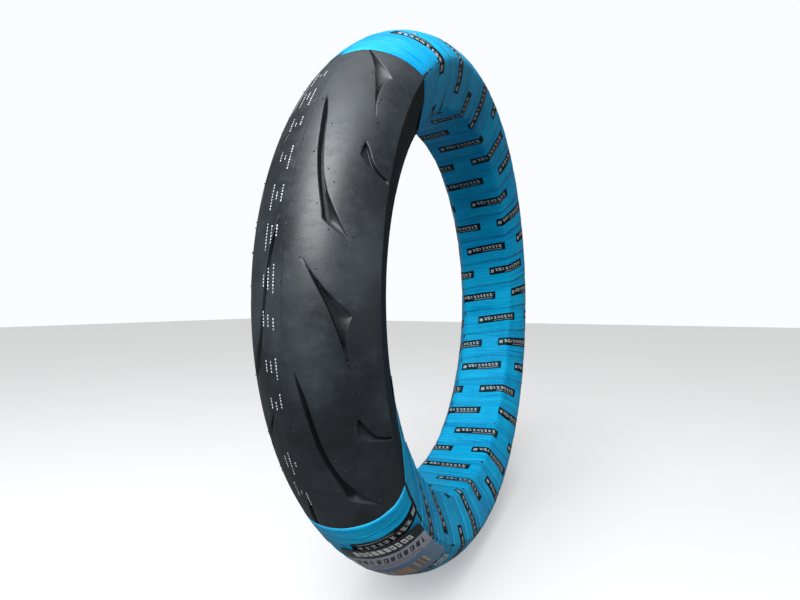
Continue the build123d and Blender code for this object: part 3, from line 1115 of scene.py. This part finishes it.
@dataclass
class WrapFilm:
    """One long strip of stretch film, wound round the section in overlapping turns."""

    form: TyreForm
    low_end: float = -149.8
    high_end: float = 145.0
    turn_pitch: float = 10.4
    strip_width: float = 18.0
    gauge: float = 0.00008
    row_step: float = 0.0042
    columns: int = 22
    tail_slants: tuple[float, ...] = (19.0, 12.0, 6.0, 2.0)
    end_pull: float = 7.5
    start_back: float = 0.064
    creases: tuple[tuple[int, float], ...] = ((3, 0.00016), (5, 0.00012), (8, 0.0001))
    fold_turn: float = -141.3
    fold_height: float = 0.0012
    seed: int = 11

    def build(self) -> Object:
        """Builds the strip as one sheet with a thin wall.

        Returns:
            The film, in place of its CAD node.
        """
        outline = self.form.wrap_outline()
        steps = np.linalg.norm(np.diff(outline[:, :2], axis=0), axis=1)
        run = np.concatenate([[0.0], np.cumsum(steps)])
        loop = float(run[-1])
        turns = (self.high_end - self.low_end - self.strip_width) / self.turn_pitch
        length = turns * loop
        rows = int(length / self.row_step)
        along = np.linspace(0.0, length, rows + 1)
        width = np.linspace(-1.0, 1.0, self.columns + 1)[None, :]
        start = loop - self.start_back
        place = np.mod(along + start, loop)
        y, out, way_y, way_out = (np.interp(place, run, line)[:, None] for line in outline.T)
        size = np.maximum(np.hypot(way_y, way_out), TINY)
        way_y, way_out = way_y / size, way_out / size
        number = (along / loop)[:, None]
        slow = wavy(along * 7.0, self.seed + 1)[:, None] * 0.5
        wobble = wavy(along * 21.0, self.seed)[:, None] * 0.35 + slow
        turn = self.middle(number, turns) + self.strip_width / 2 * width
        turn = turn + wobble * (0.4 + 0.6 * np.abs(width))

        strand = (turn - self.low_end) / self.turn_pitch - np.mod(along, loop)[:, None] / loop
        under = smooth_step((number - 0.55) / 0.4)
        lift = 0.00006 + 0.0005 * (1.0 - width) / 2.0 * under
        section = math.tau * place[:, None] / loop
        lift = lift + self.wrinkles(turn, strand, section, y, way_out)
        radius = out + way_out * lift
        angle = np.radians(turn)
        rows_of = (radius * np.cos(angle), y + way_y * lift, radius * np.sin(angle))
        points = np.stack(rows_of, axis=2)
        piece = make_object("film_strip", points.reshape(-1, 3), grid_faces(rows + 1, width.size))
        flat_width = math.radians(self.strip_width) * 0.252
        uv = np.stack(np.broadcast_arrays(along[:, None], width * flat_width / 2), axis=2)
        add_uv(piece, uv.reshape(-1, 2))
        face_outwards(piece)
        thicken(piece, self.gauge)
        dress(piece, FilmFinish().material())
        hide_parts("wrap_film")
        log.info("film: %.1f turns, %.2f m long", turns, length)
        return piece

    def middle(self, number: Array, turns: float) -> Array:
        """Turn of the strip's centre line.

        Args:
            number: How many times the strip has gone round the section.
            turns: How many times it goes round in all.

        Returns:
            Degrees round the wheel, with the slanted first laps and the pulled last one.
        """
        middle = self.low_end + self.strip_width / 2 + self.turn_pitch * number
        for lap, slant in enumerate(self.tail_slants):
            since = number - lap
            leaving = smooth_step((since + 0.24) / 0.22)
            middle = middle - slant * leaving * (1.0 - smooth_step((since - 0.16) / 0.26))
        return middle - self.end_pull * smooth_step((number - turns + 0.66) / 0.5)

    def wrinkles(
        self, turn: Array, strand: Array, section: Array, y: Array, way_out: Array
    ) -> Array:
        """How far facets, creases and one fold stand off the tyre.

        They depend only on the place on the tyre, so both layers of film share them.

        Args:
            turn: Degrees round the wheel.
            strand: Which turn of the strip lies there, as a number that grows by one a turn.
            section: Radians round the section.
            y: Metres across the tyre.
            way_out: How much the surface faces away from the axle, from -1 to 1.

        Returns:
            The lift in metres.
        """
        on_bore = smooth_step((-way_out - 0.55) / 0.4)
        on_tread = smooth_step((way_out - 0.2) / 0.4)
        bulge = 1.0 - (2.0 * np.mod(strand, 1.0) - 1.0) ** 2
        on_wall = (1.0 - on_bore) * (1.0 - on_tread)
        lift = bulge * (0.00015 + 0.00105 * on_bore + 0.0003 * on_wall)
        for waves, depth in self.creases:
            sway = 0.9 * np.sin(section * 2.0 + waves) + 0.5 * wavy(turn * 0.21, self.seed + waves)
            crest = np.abs(np.sin(math.pi * waves * strand + sway))
            swell = 0.5 + 0.5 * np.sin(section * (waves - 2.0) + turn * 0.13 * waves)
            lift = lift + depth * (1.0 - crest) ** 3 * (0.3 + swell) * (0.6 + 1.2 * on_tread)
        ridge = np.exp(-(((turn - self.fold_turn + y * 18.0) / 0.42) ** 2)) * on_tread
        ends = smooth_step((0.05 + y) / 0.01) * smooth_step((-0.012 - y) / 0.012)
        return lift + self.fold_height * ridge * ends


@dataclass
class PaperPatch:
    """A paper label on the film, curved over the tread."""

    form: TyreForm
    name: str
    node: str
    turns: Place
    across: Place
    finish: SizeLabelFinish | CodeStickerFinish
    lift: float = 0.0013
    ripple: float = 0.0003
    gauge: float = 0.00015
    cells: int = 48
    corner: float = 0.07
    seed: int = 5

    def build(self) -> Object:
        """Builds the patch with rounded corners and a slight ripple.

        Returns:
            The label, in place of its CAD node.
        """
        shares = np.linspace(0.0, 1.0, self.cells + 1)
        u, v = (grid.ravel() for grid in np.meshgrid(shares, shares))
        pull = np.clip(self.corner - np.minimum(u, 1 - u), 0, None) / self.corner
        near_end = np.minimum(v, 1 - v) < self.corner
        shrink = self.corner * (1 - np.sqrt(1 - pull**2)) * near_end
        v_in = np.clip(v, shrink, 1 - shrink)
        turn = self.turns[0] + (self.turns[1] - self.turns[0]) * v_in
        across = self.across[0] + (self.across[1] - self.across[0]) * u
        lift = self.lift + self.ripple * np.maximum(wavy(u * 7 + v * 9, self.seed), 0.0)
        points = self.form.points(turn, across, -lift)
        piece = make_object(self.name, points, grid_faces(len(shares), len(shares)))
        add_uv(piece, np.stack([u, v], axis=1))
        face_outwards(piece)
        thicken(piece, self.gauge)
        dress(piece, self.finish.material())
        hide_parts(self.node)
        return piece


# Carried-over pieces


class Casing:
    """The layers and the bead parts, which keep their CAD shapes."""

    def __init__(self, nodes: dict[str, Object]) -> None:
        """Keeps the CAD nodes."""
        self.nodes = nodes

    def dress_all(self) -> None:
        """Gives each carried-over node its finish."""
        rubber, thread = (0.03, 0.026, 0.022), (0.16, 0.13, 0.09)
        plan = {
            RubberFinish(
                "sidewall_rubber", (0.008, 0.008, 0.009), (0.022, 0.022, 0.024),
                (0.55, 0.7), 0.25, ring_pitch=0.0016,
            ): ("sidewall",),
            RubberFinish(
                "bead_rubber", (0.012, 0.012, 0.013), (0.03, 0.03, 0.032), (0.45, 0.62), 0.3
            ): ("rim_strip", "bead_insulation"),
            RubberFinish(
                "liner_rubber", (0.016, 0.01, 0.01), (0.04, 0.022, 0.022), (0.3, 0.5)
            ): ("inner_liner",),
            RubberFinish(
                "gum_rubber", (0.02, 0.018, 0.016), (0.045, 0.04, 0.036), (0.5, 0.65)
            ): ("tread_base", "bead_filler"),
            CordFinish("cord_forward", rubber, thread, 0.6): (
                "carcass_ply_outer", "breaker_ply_inner"
            ),
            CordFinish("cord_back", rubber, thread, -0.6): (
                "carcass_ply_inner", "breaker_ply_outer"
            ),
            CordFinish("chafer_cord", (0.025, 0.022, 0.02), (0.11, 0.095, 0.075), 1.4): (
                "chafer",
            ),
            WireFinish(): ("bead_wires",),
        }
        for finish, names in plan.items():
            material = finish.material()
            for name, node in self.nodes.items():
                if name.startswith(names):
                    dress(node, material)


# Studio


@dataclass
class Studio:
    """A pale floor, soft lights and the camera."""

    azimuth: float = -69.38
    elevation: float = -0.46
    distance: float = 0.5599
    lens: float = 20.38
    aim: Place = (5.13, 0.206)

    def build(self) -> None:
        """Places the camera, the floor and the lights."""
        self.place_camera()
        self.lay_floor()
        self.hang_light("window_light", (-1.28, -0.05, 0.95), (0.9, 1.4), 40.0, (0.96, 0.98, 1.0))
        self.hang_light("side_light", (-0.5, -1.5, 0.3), (1.0, 1.0), 2.0, (0.95, 0.98, 1.0))
        self.light_room()
        bpy.context.scene.view_settings.view_transform = "Standard"

    def light_room(self, strength: float = 0.14) -> None:
        """Lights the room softly from above and all round, in front of a white backdrop."""
        data = bpy.data.lights.new("roof_light", "SUN")
        data.energy = 1.5
        data.angle = 1.3
        add_object("roof_light", data).rotation_euler = (0.0, -0.35, 0.0)
        world = bpy.data.worlds.new("studio")
        bpy.context.scene.world = world
        world.use_nodes = True
        nodes, links = world.node_tree.nodes, world.node_tree.links
        nodes.clear()
        shares = {"room": strength, "backdrop": 1.0}
        glow = {name: nodes.new("ShaderNodeBackground") for name in shares}
        for name, share in shares.items():
            glow[name].inputs[0].default_value = (0.96, 0.98, 1.0, 1.0)
            glow[name].inputs[1].default_value = share
        kinds = ("ShaderNodeLightPath", "ShaderNodeMixShader", "ShaderNodeOutputWorld")
        seen, either, output = (nodes.new(kind) for kind in kinds)
        links.new(seen.outputs["Is Camera Ray"], either.inputs[0])
        links.new(glow["room"].outputs[0], either.inputs[1])
        links.new(glow["backdrop"].outputs[0], either.inputs[2])
        links.new(either.outputs[0], output.inputs[0])

    def place_camera(self) -> None:
        """Aims the camera from the front left, a little to the side of the wheel's centre."""
        a, e = math.radians(self.azimuth), math.radians(self.elevation)
        back = Vector((math.sin(a) * math.cos(e), -math.cos(a) * math.cos(e), math.sin(e)))
        right = (-back).cross(Vector((0.0, 0.0, 1.0))).normalized()
        up = right.cross(-back)
        base = Matrix((right, up, back)).transposed()
        yaw, pitch = (math.radians(angle) for angle in self.aim)
        local = Matrix.Rotation(yaw, 3, "Y") @ Matrix.Rotation(pitch, 3, "X")
        data = bpy.data.cameras.new("camera")
        data.lens = self.lens
        data.sensor_width = 36.0
        data.clip_start = 0.01
        camera = add_object("camera", data)
        camera.matrix_world = Matrix.Translation(back * self.distance) @ (base @ local).to_4x4()
        bpy.context.scene.camera = camera

    def lay_floor(self) -> None:
        """Lays a wide pale floor under the tyre, which throws no light back up at it."""
        low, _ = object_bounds()
        bpy.ops.mesh.primitive_plane_add(size=14.0, location=(0.0, 0.0, low[2] - 0.0002))
        floor = bpy.context.object
        floor.name = "floor"
        graph = Graph("floor_paint")
        cloud = graph.noise(graph.object_place(), 3.0)
        paint = graph.mix(cloud, (0.5, 0.505, 0.51), (0.53, 0.53, 0.53))
        graph.set(Base_Color=paint, Roughness=0.8)
        graph.set(Emission_Color=(1.0, 1.0, 1.0), Emission_Strength=0.36)
        dress(floor, graph.material)
        floor.visible_diffuse = False
        floor.visible_glossy = False
        floor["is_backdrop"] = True

    def hang_light(
        self, name: str, spot: Spot, size: Place, power: float, tint: Colour
    ) -> None:
        """Hangs a soft rectangular light that faces the tyre's centre."""
        data = bpy.data.lights.new(name, "AREA")
        data.energy = power
        data.shape = "RECTANGLE"
        data.size, data.size_y = size
        data.color = tint
        light = add_object(name, data)
        light.location = spot
        light.rotation_euler = (-Vector(spot)).to_track_quat("-Z", "Y").to_euler()


def main() -> None:
    """Builds the tyre's looks and its studio."""
    logging.basicConfig(level=logging.INFO, format="%(name)s: %(message)s")
    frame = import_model()
    form = TyreForm.from_frame()
    Studio().build()
    tread = Tread(form)
    pieces = {
        tread.build(): "tread",
        tread.build_nibs((140.5, 213.0)): "tread",
        InkMarks(form).build(): "tread",
        WrapFilm(form).build(): "film",
        PaperPatch(
            form, "label_sheet", "size_label", (222.0, 240.0), (0.005, -0.066), SizeLabelFinish()
        ).build(): "label",
        PaperPatch(
            form, "sticker_sheet", "barcode_sticker", (241.4, 244.6), (-0.046, -0.06),
            CodeStickerFinish(),
        ).build(): "sticker",
    }
    for piece, slot in pieces.items():
        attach(piece, "root")
        log.info("%s: %d faces", piece.name, len(piece.data.polygons))
    Casing(frame["nodes"]).dress_all()


if __name__ == "__main__":
    main()
